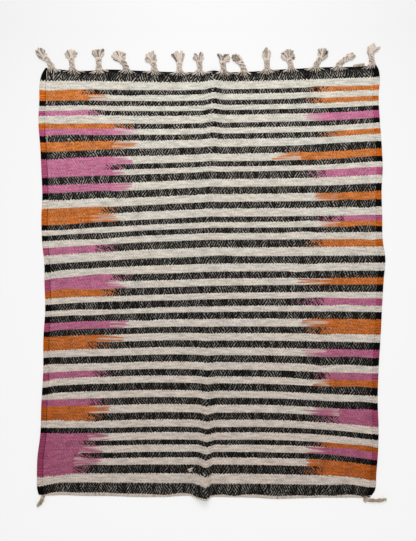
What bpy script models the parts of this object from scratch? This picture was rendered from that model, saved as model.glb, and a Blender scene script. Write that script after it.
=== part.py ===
"""A flat-woven wool rug, laid flat, with a raised centre crease and knotted warp tassels at one end.

The cloth is one sheet. X runs across it, +Y towards the tassels, +Z up, and it lies on Z = 0.
Lengths are in metres, and the tables below are in millimetres.
"""
from collections import namedtuple
import math

import bmesh
import bpy
import numpy as np
from mathutils import Vector

MM = 0.001

# The cloth: a weft-faced wool twill, and the mesh that carries it.
CLOTH_THICKNESS = 5.0
SIDE_COLUMNS = 11
ROWS = 40

# The fold that the rug was stored in still stands up along its middle.
CREASE_HALF_WIDTH = 44.0
CREASE_COLUMNS = (-60, -44, -34, -25, -16, -8, 0, 8, 16, 25, 34, 44, 60)

# What stays open between two pieces that touch on the real rug.
GAP = 0.3

# A tassel's neck: warp ends twisted into two plies, flat at the cloth's edge and round at the knot.
NECK_STEPS = 7
ROOT_WIDTH = 32.0
ROOT_HEIGHT = 5.5
NECK_WIDTH = 27.0
NECK_HEIGHT = 13.0
NECK_TURNS = 0.8
NECK_UPRIGHT = 0.55
PLY_DEPTH = 0.14

# A tassel's head: the cut ends beyond the knot, as locks side by side in layers.
KNOT_WIDTH = 25.0
KNOT_HEIGHT = 13.8
LOCKS_ACROSS = 4
LOCK_LAYERS = 2
LOCK_STEPS = 3
LAYER_HEIGHT = 7.5
LOCK_FILL = 0.86
LOCK_TIP_HEIGHT = 5.0
SIDE_LOCKS_SHORTER = 0.16
UPPER_LOCKS_SHORTER = 0.10
LOCKS_UNEVEN = 0.04

# A single plied warp end is a little flatter than it is wide.
STRAND_FLATNESS = 0.8
STRAND_STEPS_EACH = 2

# The two long sides: how far each stands from the middle line, by the distance from the tassel end.
Side = namedtuple("Side", "along left right")
SIDES = (
    Side(0, 735, 728),
    Side(25, 750, 742),
    Side(60, 760, 748),
    Side(142, 763, 743),
    Side(248, 767, 748),
    Side(354, 759, 756),
    Side(461, 754, 761),
    Side(567, 750, 756),
    Side(673, 754, 759),
    Side(780, 750, 761),
    Side(870, 740, 773),
    Side(957, 740, 765),
    Side(1063, 737, 759),
    Side(1205, 745, 752),
    Side(1347, 746, 743),
    Side(1488, 754, 739),
    Side(1630, 759, 743),
    Side(1737, 772, 739),
    Side(1822, 774, 732),
    Side(1860, 770, 728),
    Side(1882, 763, 719),
    Side(1897, 755, 702),
)

# The two woven ends: how far each stands from the rug's middle, by the place across.
End = namedtuple("End", "across tassel_end loop_end")
ENDS = (
    End(-770, 922, -977),
    End(-736, 919, -977),
    End(-670, 911, -973),
    End(-564, 905, -976),
    End(-449, 911, -979),
    End(-329, 906, -985),
    End(-209, 901, -985),
    End(-103, 897, -980),
    End(-25, 896, -985),
    End(15, 896, -985),
    End(87, 896, -986),
    End(185, 898, -988),
    End(291, 907, -994),
    End(406, 911, -990),
    End(508, 918, -988),
    End(619, 918, -988),
    End(690, 927, -986),
    End(730, 937, -973),
    End(770, 942, -965),
)

# The crease: where its crest runs and how high it stands off the floor.
Crest = namedtuple("Crest", "along across height")
CREST = (
    Crest(0, 11, 20),
    Crest(90, 10, 25),
    Crest(240, 6, 25),
    Crest(380, 2, 14),
    Crest(620, -4, 15),
    Crest(1060, -12, 12),
    Crest(1240, -15, 20),
    Crest(1480, -17, 27),
    Crest(1640, -19, 30),
    Crest(1780, -23, 38),
    Crest(1897, -25, 42),
)

# Soft low waves in the lie of the cloth, each a round swell over the floor.
Swell = namedtuple("Swell", "across along reach_across reach_along height")
SWELLS = (
    Swell(-700, 850, 120, 170, 3.5),
    Swell(-640, 1560, 130, 150, 3.0),
    Swell(700, 960, 110, 160, 3.5),
    Swell(640, 420, 150, 130, 2.5),
    Swell(400, 1800, 150, 90, 3.0),
    Swell(-330, 330, 150, 120, 2.5),
)

# The tassels, left to right. Root is the place across; the knot and the head's tip are given
# from the root, across the rug and beyond its edge. Width is the head's at its widest, base and
# top are the shares of it that the head has one step out and at its tip, and parting is its cleft.
Tassel = namedtuple(
    "Tassel", "name root knot_across knot_beyond tip_across tip_beyond width base top parting"
)
TASSELS = (
    Tassel("tassel_01", -707, -28, 44, -58, 84, 46, 0.95, 0.85, 0),
    Tassel("tassel_02", -615, -7, 50, -5, 90, 57, 0.85, 0.75, 0),
    Tassel("tassel_03", -498, 0, 48, -3, 91, 57, 0.68, 1.00, 0),
    Tassel("tassel_04", -376, -20, 43, -66, 64, 50, 0.90, 0.85, 0),
    Tassel("tassel_05", -252, -3, 35, -30, 80, 60, 0.85, 0.90, 0),
    Tassel("tassel_06", -141, -2, 38, -8, 88, 58, 0.80, 0.95, 4),
    Tassel("tassel_07", -51, 0, 46, -5, 84, 48, 0.70, 0.90, 10),
    Tassel("tassel_08", 54, 3, 35, 3, 77, 58, 0.95, 0.80, 6),
    Tassel("tassel_09", 145, -15, 39, -53, 66, 40, 1.00, 0.80, 0),
    Tassel("tassel_10", 247, -2, 44, -4, 98, 34, 0.95, 0.50, 0),
    Tassel("tassel_11", 354, -8, 37, -14, 91, 66, 0.95, 0.65, 0),
    Tassel("tassel_12", 463, 21, 42, 33, 89, 52, 0.90, 0.80, 0),
    Tassel("tassel_13", 563, 34, 46, 72, 66, 34, 1.00, 0.85, 0),
    Tassel("tassel_14", 712, -1, 49, 4, 90, 52, 0.75, 0.95, 10),
)

# Short plied warp ends that lie on the tassel end and at the corners: the points each runs
# through, across the rug and beyond the edge it leaves, and its width at the root and the tip.
Strand = namedtuple("Strand", "name end width tip_width route")
STRANDS = (
    Strand("tassel_stub", 1, 11, 15, ((632, 6.2), (645, 8), (660, 10), (678, 12))),
    Strand("corner_tassel_left", -1, 15, 12, ((-741, 1), (-747, 16), (-756, 32), (-770, 48))),
    Strand("corner_tassel_right", -1, 14, 13, ((681, 6.5), (706, 18), (738, 30), (777, 30))),
)

SHARP_ANGLE = math.radians(50)
CREAM_WOOL = (0.56, 0.50, 0.43)
WARP_WOOL = (0.50, 0.42, 0.33)


def smooth(at, stations, values):
    """A smooth curve through the stations: cubic pieces, sloped at each as its neighbours are."""
    at, stations, values = (np.asarray(x, float) for x in (at, stations, values))
    slopes = np.gradient(values, stations)
    low = np.clip(np.searchsorted(stations, at) - 1, 0, len(stations) - 2)
    run = stations[low + 1] - stations[low]
    t = np.clip((at - stations[low]) / run, 0, 1)
    start = (2 * t**3 - 3 * t**2 + 1) * values[low] + (t**3 - 2 * t**2 + t) * run * slopes[low]
    finish = (3 * t**2 - 2 * t**3) * values[low + 1] + (t**3 - t**2) * run * slopes[low + 1]
    return start + finish


def column(rows, name):
    """One named column of a table."""
    return [getattr(row, name) for row in rows]


def edge_at(across, end):
    """How far the woven end stands from the middle, at a place across: the tassel end or the loop end."""
    name = "tassel_end" if end > 0 else "loop_end"
    return smooth(across, column(ENDS, "across"), column(ENDS, name))


def crest_at(along):
    """(place across, height) of the crease's crest."""
    stations = column(CREST, "along")
    return smooth(along, stations, column(CREST, "across")), smooth(along, stations, column(CREST, "height"))


def columns_at(along):
    """The mesh's places across at one distance along: even to each side of the crease's own columns."""
    left = -smooth(along, column(SIDES, "along"), column(SIDES, "left"))
    right = smooth(along, column(SIDES, "along"), column(SIDES, "right"))
    crest, _ = crest_at(along)
    crease = crest + np.array(CREASE_COLUMNS)
    return np.concatenate([
        np.linspace(left, crease[0], SIDE_COLUMNS + 1)[:-1],
        crease,
        np.linspace(crease[-1], right, SIDE_COLUMNS + 1)[1:],
    ])


def underside_at(across, along):
    """The height of the cloth's underside: the crease, round at its crest, and the low swells."""
    crest, height = crest_at(along)
    off = np.clip(np.abs(across - crest) / CREASE_HALF_WIDTH, 0, 1)
    z = height * np.cos(off * math.pi / 2) ** 2
    for s in SWELLS:
        far = np.hypot((across - s.across) / s.reach_across, (along - s.along) / s.reach_along)
        z = z + s.height * np.cos(np.clip(far, 0, 1) * math.pi / 2) ** 2
    return z


def woven_edge(across, end):
    """The same edge as the mesh has it, straight from column to column, for what is seated on it."""
    columns = columns_at(0 if end > 0 else SIDES[-1].along)
    return np.interp(across, columns, edge_at(columns, end))


def rug_rows():
    """The distances along of the mesh's rows: the sides' own stations, and even steps between them."""
    length = SIDES[-1].along
    own = np.array(column(SIDES, "along"), float)
    even = np.linspace(0, length, ROWS + 1)
    keep = [v for v in even if np.abs(own - v).min() > length / ROWS / 2]
    return np.array(sorted([*own, *keep]))


def wool(name, colour):
    """A dull woollen surface in one colour."""
    material = bpy.data.materials.new(name)
    material.use_nodes = True
    shader = material.node_tree.nodes["Principled BSDF"]
    shader.inputs["Base Color"].default_value = (*colour, 1)
    shader.inputs["Roughness"].default_value = 0.9
    shader.inputs["Metallic"].default_value = 0
    return material


def add_object(name, bm, colour, collection):
    """The finished mesh as an object of its own, with its own material."""
    mesh = bpy.data.meshes.new(name)
    bm.to_mesh(mesh)
    bm.free()
    mesh.materials.append(wool(f"{name}_wool", colour))
    mesh.shade_smooth()
    mesh.set_sharp_from_angle(angle=SHARP_ANGLE)
    obj = bpy.data.objects.new(name, mesh)
    collection.objects.link(obj)
    return obj


def build_rug(collection):
    """The cloth: a grid laid to the outline and the folds, then given its thickness upwards."""
    rows = rug_rows()
    across = np.array([columns_at(v) for v in rows])
    share = (rows / rows[-1])[:, None]
    up = edge_at(across, 1) * (1 - share) + edge_at(across, -1) * share
    height = underside_at(across, rows[:, None])
    columns = across.shape[1]

    bm = bmesh.new()
    bmesh.ops.create_grid(bm, x_segments=columns - 1, y_segments=len(rows) - 1, size=1)
    for vert in bm.verts:
        i = round((vert.co.x + 1) / 2 * (columns - 1))
        j = round((1 - vert.co.y) / 2 * (len(rows) - 1))
        vert.co = Vector((across[j, i], up[j, i], height[j, i])) * MM
    rug = add_object("rug", bm, CREAM_WOOL, collection)

    solid = rug.modifiers.new("thickness", "SOLIDIFY")
    solid.thickness = CLOTH_THICKNESS * MM
    solid.offset = 1
    solid.use_even_offset = True
    return rug


def bend(start, middle, finish, t):
    """(place, direction) at t on the curve from start to finish that heads for middle first."""
    place = (1 - t) ** 2 * start + 2 * t * (1 - t) * middle + t**2 * finish
    heading = 2 * (1 - t) * (middle - start) + 2 * t * (finish - middle)
    return place, heading / np.linalg.norm(heading)


def ring_points(across_count, layers):
    """Points round a cell grid of this many cells, in order, each as (sideways, up) from -1 to 1."""
    side = np.linspace(-1, 1, across_count + 1)
    rise = np.linspace(-1, 1, layers + 1)
    bottom = [(s, -1) for s in side[:-1]]
    right = [(1, r) for r in rise[:-1]]
    top = [(s, 1) for s in side[:0:-1]]
    left = [(-1, r) for r in rise[:0:-1]]
    return np.array(bottom + right + top + left)


def rounded(points, width, height, turn=0.0, depth=0.0):
    """The ring's points on a round section, with two plies' waists turned by this angle."""
    angle = np.arctan2(points[:, 1], points[:, 0])
    reach = 1 + depth * np.cos(2 * (angle - turn))
    return np.stack([np.cos(angle) * reach * width / 2, np.sin(angle) * reach * height / 2], 1)


def placed(section, place, heading):
    """A section stood across its heading, with its lowest point on the floor."""
    sideways = np.array([heading[1], -heading[0]])
    flat = place + section[:, :1] * sideways
    lift = section[:, 1] - section[:, 1].min()
    return np.column_stack([flat, lift])


def skin(bm, lower, upper):
    """The wall between two rings of as many points."""
    for k, vert in enumerate(lower):
        n = (k + 1) % len(lower)
        bm.faces.new((vert, lower[n], upper[n], upper[k]))


def head_width(t, share):
    """How wide a tassel's head stands at a share of its length from the knot to the tip."""
    steps = (0, 1 / LOCK_STEPS, 1 - 1 / LOCK_STEPS, 1)
    return np.interp(share, steps, (KNOT_WIDTH, t.base * t.width, t.width, t.top * t.width))


def add_locks(bm, cells, t, knot, tip):
    """Draws each cell of the knot's face out into a lock of yarn, in steps that fan and lie down."""
    neck = np.array([t.knot_across, t.knot_beyond], float)
    run = np.linalg.norm(tip - knot)
    middle = knot + neck / np.linalg.norm(neck) * run / 2
    for (i, j), face in cells.items():
        fan = (2 * i + 1) / LOCKS_ACROSS - 1
        uneven = LOCKS_UNEVEN * math.sin(3 * i + 2 * j + t.root)
        reach = 1 - SIDE_LOCKS_SHORTER * fan**2 - UPPER_LOCKS_SHORTER * j + uneven
        floor = j * LAYER_HEIGHT
        for step in range(1, LOCK_STEPS + 1):
            share = step / LOCK_STEPS
            place, heading = bend(knot, middle, tip, share * reach)
            sideways = np.array([heading[1], -heading[0]])
            spread = head_width(t, share)
            centre = place + sideways * (fan * spread + math.copysign(t.parting, fan) * share) / 2
            half = spread / LOCKS_ACROSS * LOCK_FILL / 2
            height = LAYER_HEIGHT * LOCK_FILL if share < 1 else LOCK_TIP_HEIGHT
            face = bmesh.ops.extrude_discrete_faces(bm, faces=[face])["faces"][0]
            middle_point = face.calc_center_median()
            for vert in face.verts:
                off = vert.co - middle_point
                side = 1 if off.x * sideways[0] + off.y * sideways[1] > 0 else -1
                flat = centre + sideways * side * half
                rise = height if off.z > 0 else 0
                vert.co = Vector((*flat, floor + rise)) * MM


def add_knot_face(bm, ring, verts):
    """The knot's flat face, where the neck's last ring is parted into one cell for each lock."""
    side = np.linspace(-1, 1, LOCKS_ACROSS + 1)
    rise = np.linspace(-1, 1, LOCK_LAYERS + 1)
    at = {tuple(np.round(point, 3)): vert for point, vert in zip(ring, verts)}
    for s in np.round(side[1:-1], 3):
        for r in np.round(rise[1:-1], 3):
            at[s, r] = bm.verts.new(at[s, -1.0].co.lerp(at[s, 1.0].co, (r + 1) / 2))
    cells = {}
    for i in range(LOCKS_ACROSS):
        for j in range(LOCK_LAYERS):
            corners = ((i, j), (i + 1, j), (i + 1, j + 1), (i, j + 1))
            cells[i, j] = bm.faces.new([at[round(side[a], 3), round(rise[b], 3)] for a, b in corners])
    return cells


def neck_section(ring, share):
    """The neck's section at a share of its length, flat at the root and squared up at the knot."""
    if share == 0:
        return rounded(ring, ROOT_WIDTH, ROOT_HEIGHT)
    if share == 1:
        return ring * (KNOT_WIDTH / 2, KNOT_HEIGHT / 2)
    swell = math.sqrt(math.sin(share * math.pi / 2))
    width = NECK_WIDTH + (KNOT_WIDTH - NECK_WIDTH) * share
    height = ROOT_HEIGHT + (NECK_HEIGHT - ROOT_HEIGHT) * swell
    return rounded(ring, width, height, share * NECK_TURNS * math.tau, PLY_DEPTH)


def build_tassel(t, collection):
    """A plied neck from the cloth's edge to a knot, whose face is drawn out into two layers of locks."""
    ring = ring_points(LOCKS_ACROSS, LOCK_LAYERS)
    edge = woven_edge(t.root, 1)
    start = np.array([t.root, edge + GAP])
    knot = np.array([t.root + t.knot_across, edge + t.knot_beyond])
    tip = np.array([t.root + t.tip_across, edge + t.tip_beyond])
    middle = start + np.array([0, t.knot_beyond * NECK_UPRIGHT])

    bm = bmesh.new()
    rings = []
    for step in range(NECK_STEPS + 1):
        share = step / NECK_STEPS
        place, heading = bend(start, middle, knot, share)
        points = placed(neck_section(ring, share), place, heading)
        if step == 0:
            points[:, 1] = woven_edge(points[:, 0], 1) + GAP
        rings.append([bm.verts.new(Vector(p) * MM) for p in points])
    bm.faces.new(reversed(rings[0]))
    for lower, upper in zip(rings, rings[1:]):
        skin(bm, lower, upper)
    cells = add_knot_face(bm, ring, rings[-1])
    add_locks(bm, cells, t, knot, tip)
    bmesh.ops.recalc_face_normals(bm, faces=bm.faces)
    return add_object(t.name, bm, WARP_WOOL, collection)


def build_strand(s, collection):
    """A short plied warp end that lies on the floor along its route, with a blunt knotted tip."""
    ring = ring_points(2, 2)
    stations = np.arange(len(s.route))
    route = np.array(s.route, float)
    steps = STRAND_STEPS_EACH * stations[-1]
    at = np.linspace(0, stations[-1], steps + 1)
    across = smooth(at, stations, route[:, 0])
    beyond = smooth(at, stations, route[:, 1])
    up = woven_edge(across, s.end) + s.end * beyond
    line = np.stack([across, up], 1)
    bm = bmesh.new()
    rings = []
    for step, (place, heading) in enumerate(zip(line, np.gradient(line, axis=0))):
        share = step / steps
        width = s.width + (s.tip_width - s.width) * share
        section = rounded(ring, width, width * STRAND_FLATNESS, share * math.tau, PLY_DEPTH)
        points = placed(section, place, heading / np.linalg.norm(heading))
        clear = s.end * woven_edge(points[:, 0], s.end) + GAP
        points[:, 1] = s.end * np.maximum(s.end * points[:, 1], clear)
        rings.append([bm.verts.new(Vector(p) * MM) for p in points])
    bm.faces.new(reversed(rings[0]))
    for lower, upper in zip(rings, rings[1:]):
        skin(bm, lower, upper)
    bm.faces.new(rings[-1])
    bmesh.ops.recalc_face_normals(bm, faces=bm.faces)
    return add_object(s.name, bm, WARP_WOOL, collection)


def centre_on_box(objects):
    """Moves every mesh so that the whole rug's box is centred on X = Y = 0 and stands on Z = 0."""
    bpy.context.view_layer.update()
    graph = bpy.context.evaluated_depsgraph_get()
    corners = [corner[:] for obj in objects for corner in obj.evaluated_get(graph).bound_box]
    low, high = np.min(corners, axis=0), np.max(corners, axis=0)
    shift = Vector((-(low[0] + high[0]) / 2, -(low[1] + high[1]) / 2, -low[2]))
    for obj in objects:
        for vert in obj.data.vertices:
            vert.co += shift


def main():
    for obj in list(bpy.data.objects):
        bpy.data.objects.remove(obj, do_unlink=True)
    collection = bpy.data.collections.new("moroccan_rug")
    bpy.context.scene.collection.children.link(collection)
    objects = [build_rug(collection)]
    objects += [build_tassel(t, collection) for t in TASSELS]
    objects += [build_strand(s, collection) for s in STRANDS]
    centre_on_box(objects)


main()
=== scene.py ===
"""The looks of a moroccan rug: a striped flat-woven wool cloth with knotted warp tassels, laid flat.

Lengths are in metres, and the tables are in millimetres: X across the rug, +Y to the tassels.
"""
from collections import namedtuple
from functools import partial
import math

import bpy
import numpy as np
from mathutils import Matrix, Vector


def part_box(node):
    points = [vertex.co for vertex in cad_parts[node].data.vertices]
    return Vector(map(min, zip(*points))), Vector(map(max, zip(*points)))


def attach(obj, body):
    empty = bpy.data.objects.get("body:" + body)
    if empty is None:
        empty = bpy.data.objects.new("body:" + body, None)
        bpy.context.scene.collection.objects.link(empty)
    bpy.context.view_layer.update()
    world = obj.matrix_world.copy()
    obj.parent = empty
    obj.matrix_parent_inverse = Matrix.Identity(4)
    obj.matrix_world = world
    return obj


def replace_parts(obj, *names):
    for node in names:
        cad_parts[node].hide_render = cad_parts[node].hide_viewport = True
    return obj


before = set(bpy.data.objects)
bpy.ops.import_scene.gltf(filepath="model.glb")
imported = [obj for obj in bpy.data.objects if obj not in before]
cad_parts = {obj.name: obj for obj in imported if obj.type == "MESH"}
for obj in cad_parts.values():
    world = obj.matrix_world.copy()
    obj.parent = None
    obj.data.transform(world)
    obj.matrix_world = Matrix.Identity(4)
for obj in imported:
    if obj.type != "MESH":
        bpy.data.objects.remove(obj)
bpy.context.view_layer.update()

# The cloth: how it lies
# One sheet of hand-woven wool, laid flat, that was stored folded in half lengthways.
# Its sides wander with the weaver's hand, its ends bow, and the old fold stands up as a crease.
MM = 0.001
CLOTH_THICKNESS = 5.0
LENGTH = 1897.0
TASSEL_END_LEVEL = 915.9
HALF_WIDTH = 760.0
CREASE_REACH = 60.0
CREASE_SHARPNESS = 0.55

# How far each side stands from the middle line, by the distance from the tassel end.
# As with the ends below, a program found these edges on the photo, and they were rounded.
Side = namedtuple("Side", "along left right")
SIDES = (
    Side(0, 735, 728),
    Side(25, 750, 742),
    Side(60, 760, 748),
    Side(142, 763, 743),
    Side(248, 767, 748),
    Side(354, 759, 756),
    Side(461, 754, 761),
    Side(567, 750, 756),
    Side(673, 754, 759),
    Side(780, 750, 761),
    Side(870, 740, 773),
    Side(957, 740, 765),
    Side(1063, 737, 759),
    Side(1205, 745, 752),
    Side(1347, 746, 743),
    Side(1488, 754, 739),
    Side(1630, 759, 743),
    Side(1737, 772, 739),
    Side(1822, 774, 732),
    Side(1860, 774, 731),
    Side(1882, 770, 725),
    Side(1897, 766, 712),
)

# How far each woven end stands from the rug's middle, by the place across.
End = namedtuple("End", "across tassel_end loop_end")
ENDS = (
    End(-770, 922, -977),
    End(-736, 919, -979),
    End(-670, 911, -977),
    End(-564, 905, -980),
    End(-449, 911, -981),
    End(-329, 906, -985),
    End(-209, 901, -985),
    End(-103, 899, -980),
    End(-25, 899, -985),
    End(15, 899, -985),
    End(87, 899, -986),
    End(185, 902, -988),
    End(291, 910, -994),
    End(406, 916, -990),
    End(508, 921, -988),
    End(619, 923, -988),
    End(690, 927, -986),
    End(730, 937, -973),
    End(770, 942, -965),
)

# Where the crease's crest runs, how high it stands off the floor, and how wide its two flanks are.
Crest = namedtuple("Crest", "along across height left_flank right_flank")
CREST = (
    Crest(0, 11, 20, 44, 48),
    Crest(90, 10, 25, 44, 50),
    Crest(240, 6, 25, 44, 50),
    Crest(380, 2, 14, 44, 48),
    Crest(620, -4, 15, 44, 44),
    Crest(1060, -12, 12, 44, 44),
    Crest(1240, -15, 20, 44, 42),
    Crest(1480, -17, 27, 44, 38),
    Crest(1640, -19, 30, 42, 34),
    Crest(1780, -23, 38, 42, 28),
    Crest(1897, -25, 42, 72, 28),
)

# Soft low swells where the cloth doesn't quite touch the floor.
Swell = namedtuple("Swell", "across along reach_across reach_along height")
SWELLS = (
    Swell(-700, 850, 120, 170, 3.5),
    Swell(-640, 1560, 130, 150, 3.0),
    Swell(700, 960, 110, 160, 3.5),
    Swell(640, 420, 150, 130, 2.5),
    Swell(400, 1800, 150, 90, 3.0),
    Swell(-330, 330, 150, 120, 2.5),
)


def column(rows, name):
    """One named column of a table."""
    return np.array([getattr(row, name) for row in rows], float)


def eased(t, run, low, high, slope_low, slope_high):
    """A cubic from one value to the next over a run, with the slope given at both; t goes from 0 to 1."""
    start = (2 * t**3 - 3 * t**2 + 1) * low + (t**3 - 2 * t**2 + t) * run * slope_low
    finish = (3 * t**2 - 2 * t**3) * high + (t**3 - t**2) * run * slope_high
    return start + finish


def smooth(at, stations, values):
    """A smooth curve through the stations: cubic pieces, sloped at each as its neighbours are."""
    at = np.asarray(at, float)
    slopes = np.gradient(values, stations)
    low = np.clip(np.searchsorted(stations, at) - 1, 0, len(stations) - 2)
    run = stations[low + 1] - stations[low]
    t = np.clip((at - stations[low]) / run, 0, 1)
    return eased(t, run, values[low], values[low + 1], slopes[low], slopes[low + 1])


def table_curve(at, rows, by, name):
    """A table's named column as a smooth curve over another of its columns."""
    return smooth(at, column(rows, by), column(rows, name))


def woven_edge(across, end):
    """How far the woven end stands from the middle, at a place across: the tassel end or the loop end."""
    return table_curve(across, ENDS, "across", "tassel_end" if end > 0 else "loop_end")


def underside(across, along):
    """The height of the cloth's underside: the crease with its sharp crest, and the low swells."""
    crest, height, left_flank, right_flank = (
        table_curve(along, CREST, "along", name) for name in Crest._fields[1:]
    )
    flank = np.where(across > crest, right_flank, left_flank)
    off = np.clip(np.abs(across - crest) / flank, 0, 1)
    ridge = CREASE_SHARPNESS * (1 - off) + (1 - CREASE_SHARPNESS) * np.cos(off * math.pi / 2) ** 2
    z = height * ridge * np.clip((1 - off) * 6, 0, 1) ** 0.5
    for s in SWELLS:
        far = np.hypot((across - s.across) / s.reach_across, (along - s.along) / s.reach_along)
        z = z + s.height * np.cos(np.clip(far, 0, 1) * math.pi / 2) ** 2
    return z


# The frame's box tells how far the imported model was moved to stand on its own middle.
rug_low, rug_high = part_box("rug")
corner_height = woven_edge(SIDES[0].right, 1)
SHIFT_ACROSS = rug_low.x / MM + column(SIDES, "left").max()
SHIFT_UP = rug_high.y / MM - float(corner_height)

# The cloth: its stripes
# Black and cream wefts in bands from side to side, with orange or pink let in at the sides of some.
# An inset is given by its yarn, how far it runs pure from the side, and how far it is mixed in.
# The heights are a program's, from edges that it followed across the photo. The insets' ends were
# read off as pixels, and a program worked them out in millimetres.
Band = namedtuple("Band", "yarn height left right", defaults=(None, None))
FIRST_BAND = 13.0
BANDS = (
    Band("black", 43),
    Band("cream", 36),
    Band("black", 21, ("orange", 185, 272), ("orange", 233, 333)),
    Band("cream", 27, ("orange", 213, 287)),
    Band("black", 22, None, ("orange", 256, 347)),
    Band("cream", 22),
    Band("black", 21, ("pink", 215, 294)),
    Band("cream", 35, None, ("pink", 239, 332)),
    Band("black", 23, ("orange", 323, 439)),
    Band("cream", 26, ("pink", 319, 420)),
    Band("black", 25, None, ("orange", 195, 296)),
    Band("cream", 35, ("orange", 317, 415)),
    Band("black", 32),
    Band("cream", 34, ("pink", 310, 397), ("orange", 360, 471)),
    Band("black", 24, ("pink", 283, 393)),
    Band("cream", 23, ("pink", 319, 377)),
    Band("black", 34, None, ("pink", 250, 353)),
    Band("cream", 35, ("pink", 313, 394)),
    Band("black", 33),
    Band("cream", 35, None, ("orange", 188, 285)),
    Band("black", 30, ("orange", 265, 355)),
    Band("cream", 36, ("orange", 223, 336)),
    Band("black", 24, None, ("pink", 168, 298)),
    Band("cream", 25, None, ("orange", 187, 288)),
    Band("black", 24),
    Band("cream", 29),
    Band("black", 34, ("pink", 241, 357), ("orange", 257, 347)),
    Band("cream", 39),
    Band("black", 32),
    Band("cream", 35),
    Band("black", 30, ("pink", 304, 404)),
    Band("cream", 31, ("pink", 272, 363), ("orange", 224, 349)),
    Band("black", 32, ("orange", 272, 360)),
    Band("cream", 27),
    Band("black", 31, None, ("pink", 255, 380)),
    Band("cream", 25),
    Band("black", 31),
    Band("cream", 34, ("pink", 304, 382), ("orange", 232, 330)),
    Band("black", 29, None, ("orange", 228, 336)),
    Band("cream", 33, ("orange", 240, 351)),
    Band("black", 31, ("orange", 199, 314)),
    Band("cream", 33, None, ("pink", 237, 328)),
    Band("black", 32),
    Band("cream", 33),
    Band("black", 30, ("pink", 227, 331), ("pink", 213, 288)),
    Band("cream", 31, None, ("orange", 216, 283)),
    Band("black", 33),
    Band("cream", 31),
    Band("black", 31, ("pink", 214, 315)),
    Band("cream", 35, ("orange", 211, 311), ("pink", 172, 302)),
    Band("black", 32, ("orange", 204, 293), ("pink", 170, 274)),
    Band("cream", 32),
    Band("black", 24),
    Band("cream", 33, ("pink", 215, 298)),
    Band("black", 22, ("pink", 175, 271), ("orange", 229, 296)),
    Band("cream", 32, ("pink", 181, 281), ("pink", 235, 309)),
    Band("black", 25, ("pink", 165, 279)),
    Band("cream", 31, ("pink", 160, 278), ("orange", 247, 313)),
    Band("black", 39, ("pink", 163, 251), ("orange", 241, 334)),
    Band("cream", 42),
    Band("black", 48),
)

# How the wefts bow: further from the tassel end at some places across, nearer to it at others.
# A program fitted these figures to the edges that it followed. They were corrected against a render.
BOW_ACROSS = np.array([-744, -560, -440, -300, -150, -40, 260, 540, 731], float)
Bow = namedtuple("Bow", "along left_side far_left left near_left nearer_left middle near_right right "
                 "right_side")
BOWS = (
    Bow(0, -4, -2, -1, 4, 7, 7, 1, -10, -15),
    Bow(100, 3, 2, 4, 5, 6, 3, -2, -10, -17),
    Bow(220, 8, 4, 5, 6, 6, 4, -2, -9, -20),
    Bow(400, 22, 15, 11, 8, 4, 0, -5, -13, -26),
    Bow(600, 26, 17, 15, 8, 1, -4, -8, -12, -18),
    Bow(800, 31, 19, 12, 4, -1, -5, -7, -9, -10),
    Bow(1000, 24, 12, 8, 5, 2, -2, -6, -8, -8),
    Bow(1200, 15, 6, 4, -1, -4, -3, -2, 2, 6),
    Bow(1400, 11, 1, -2, -6, -6, -4, 0, 12, 18),
    Bow(1600, 0, 0, 0, -4, -5, -3, -3, 11, 30),
    Bow(1760, 4, -2, -2, -4, -4, -4, -1, 8, 30),
    Bow(1845, -4, -6, -5, -4, -3, -1, 1, 6, 16),
    Bow(1890, -10, -8, -6, -3, -1, 1, 4, 4, 9),
)

# How much of the warp loops shows beyond the last band, by the place across.
# Rounded from what a program measured on the photo and on a render.
Loops = namedtuple("Loops", "across width")
LOOPS = (
    Loops(-770, 3),
    Loops(-742, 3),
    Loops(-716, 10),
    Loops(-680, 13.5),
    Loops(-600, 13),
    Loops(-530, 14.5),
    Loops(-480, 14.5),
    Loops(-420, 12.5),
    Loops(-384, 13),
    Loops(-300, 13.5),
    Loops(-243, 10.5),
    Loops(-200, 8),
    Loops(-136, 12),
    Loops(-101, 9.5),
    Loops(-65, 5),
    Loops(-30, 8),
    Loops(6, 6),
    Loops(41, 10),
    Loops(112, 5),
    Loops(147, 12),
    Loops(183, 13),
    Loops(290, 12),
    Loops(395, 12),
    Loops(431, 8.5),
    Loops(480, 10.5),
    Loops(537, 7),
    Loops(608, 13),
    Loops(643, 10),
    Loops(700, 4),
    Loops(770, 2),
)
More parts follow.
